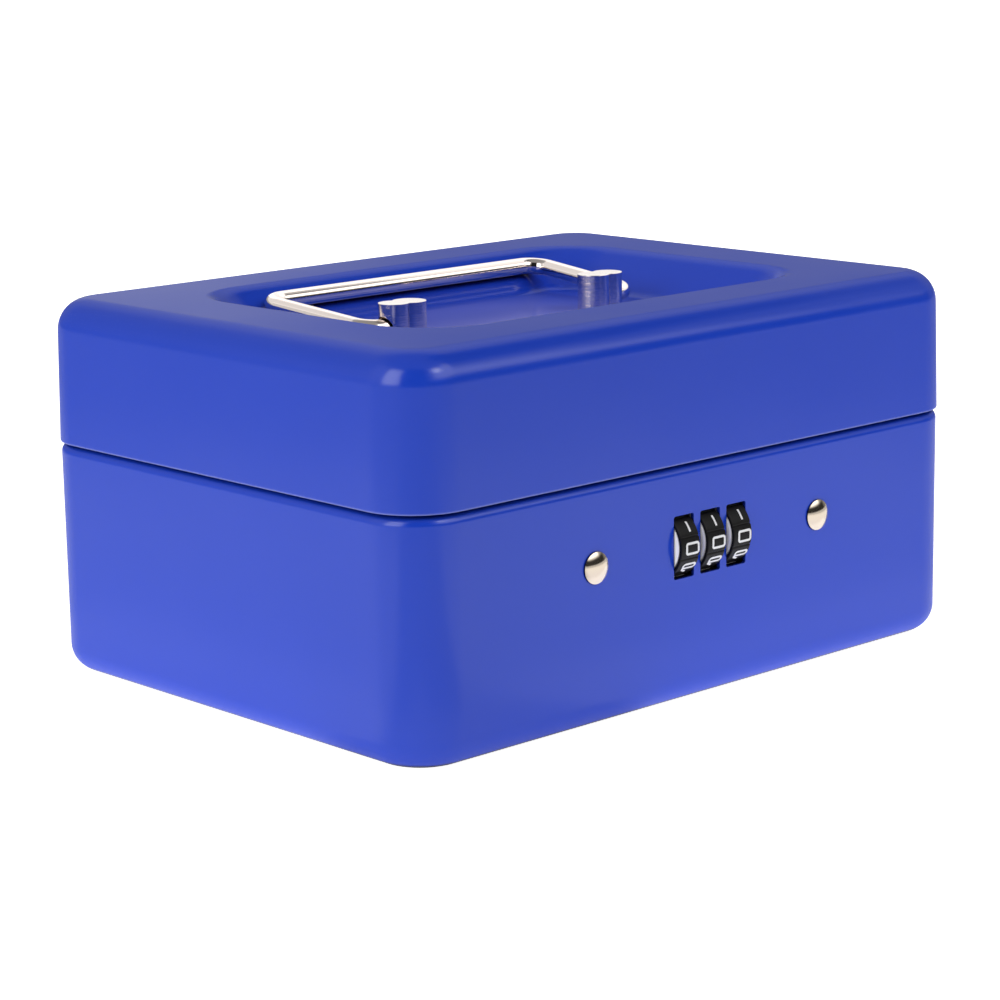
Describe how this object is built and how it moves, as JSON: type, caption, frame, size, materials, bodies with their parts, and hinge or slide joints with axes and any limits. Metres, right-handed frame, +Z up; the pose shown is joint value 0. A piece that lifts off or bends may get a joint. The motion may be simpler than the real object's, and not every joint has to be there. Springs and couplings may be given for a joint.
{
  "type": "medication lock box",
  "caption": "Small pressed-steel lock box with a hinged lid, a combination lock of number wheels in its front and a wire carrying handle folded into a dish in the lid.",
  "frame": {"origin": "middle of the underside, where the box stands", "axes": "+X along the long side, +Y from the lock in front to the hinges at the back, +Z up"},
  "size_m": [0.152, 0.1187, 0.076],
  "materials": {
    "blue_paint": "glossy enamel",
    "chrome_plate": "polished",
    "nickel_plate": "polished",
    "zinc_plate": "zinc plated",
    "spring_steel": "bright spring steel",
    "cam_brass": "turned",
    "black_plastic": "satin",
    "white_plastic": "satin"
  },
  "bodies": {
    "box": {"body_shell": "blue_paint", "lock_case": "zinc_plate", "lock_rivet_left": "nickel_plate", "lock_rivet_right": "nickel_plate", "dial_spindle": "zinc_plate", "spindle_clip": "spring_steel", "detent_spring": "spring_steel", "catch_spring": "spring_steel", "hinge_body_leaf_left": "blue_paint", "hinge_body_leaf_right": "blue_paint", "hinge_pin_left": "zinc_plate", "hinge_pin_right": "zinc_plate"},
    "lid": {"lid_shell": "blue_paint", "lid_hook": "zinc_plate", "hinge_lid_leaf_left": "blue_paint", "hinge_lid_leaf_right": "blue_paint", "handle_post_left": "chrome_plate", "handle_post_right": "chrome_plate", "post_screw_left": "zinc_plate", "post_screw_right": "zinc_plate", "post_washer_left": "zinc_plate", "post_washer_right": "zinc_plate"},
    "handle": {"handle_bail": "chrome_plate"},
    "dial_1": {"dial_ring_1": "black_plastic", "dial_hub_1": "white_plastic"},
    "dial_2": {"dial_ring_2": "black_plastic", "dial_hub_2": "white_plastic"},
    "dial_3": {"dial_ring_3": "black_plastic", "dial_hub_3": "white_plastic"},
    "sleeve_1": {"cam_sleeve_1": "cam_brass"},
    "sleeve_2": {"cam_sleeve_2": "cam_brass"},
    "sleeve_3": {"cam_sleeve_3": "cam_brass"},
    "reset": {"reset_lever": "zinc_plate"}
  },
  "joints": [
    {"name": "lid_hinge", "type": "hinge", "parent": "box", "child": "lid", "pos_m": [0, 0.058, 0.0472], "axis": [-1, 0, 0], "range_deg": [0, 100], "deforming": ["catch_spring"]},
    {"name": "handle_swing", "type": "hinge", "parent": "lid", "child": "handle", "pos_m": [0, 0, 0.0705], "axis": [1, 0, 0], "range_deg": [0, 169.5]},
    {"name": "dial_1_turn", "type": "hinge", "parent": "box", "child": "dial_1", "pos_m": [-0.0073, -0.0519, 0.0314], "axis": [1, 0, 0], "continuous": true},
    {"name": "dial_2_turn", "type": "hinge", "parent": "box", "child": "dial_2", "pos_m": [0, -0.0519, 0.0314], "axis": [1, 0, 0], "continuous": true},
    {"name": "dial_3_turn", "type": "hinge", "parent": "box", "child": "dial_3", "pos_m": [0.0073, -0.0519, 0.0314], "axis": [1, 0, 0], "continuous": true},
    {"name": "reset_slide", "type": "slide", "parent": "box", "child": "reset", "axis": [1, 0, 0], "range_m": [0, 0.0009]},
    {"name": "sleeve_1_slide", "type": "slide", "parent": "dial_1", "child": "sleeve_1", "axis": [1, 0, 0], "range_m": [0, 0.0009]},
    {"name": "sleeve_2_slide", "type": "slide", "parent": "dial_2", "child": "sleeve_2", "axis": [1, 0, 0], "range_m": [0, 0.0009]},
    {"name": "sleeve_3_slide", "type": "slide", "parent": "dial_3", "child": "sleeve_3", "axis": [1, 0, 0], "range_m": [0, 0.0009]}
  ],
  "couplings": [
    {"joint": "sleeve_1_slide", "follows": "reset_slide", "ratio": 1},
    {"joint": "sleeve_2_slide", "follows": "reset_slide", "ratio": 1},
    {"joint": "sleeve_3_slide", "follows": "reset_slide", "ratio": 1}
  ]
}
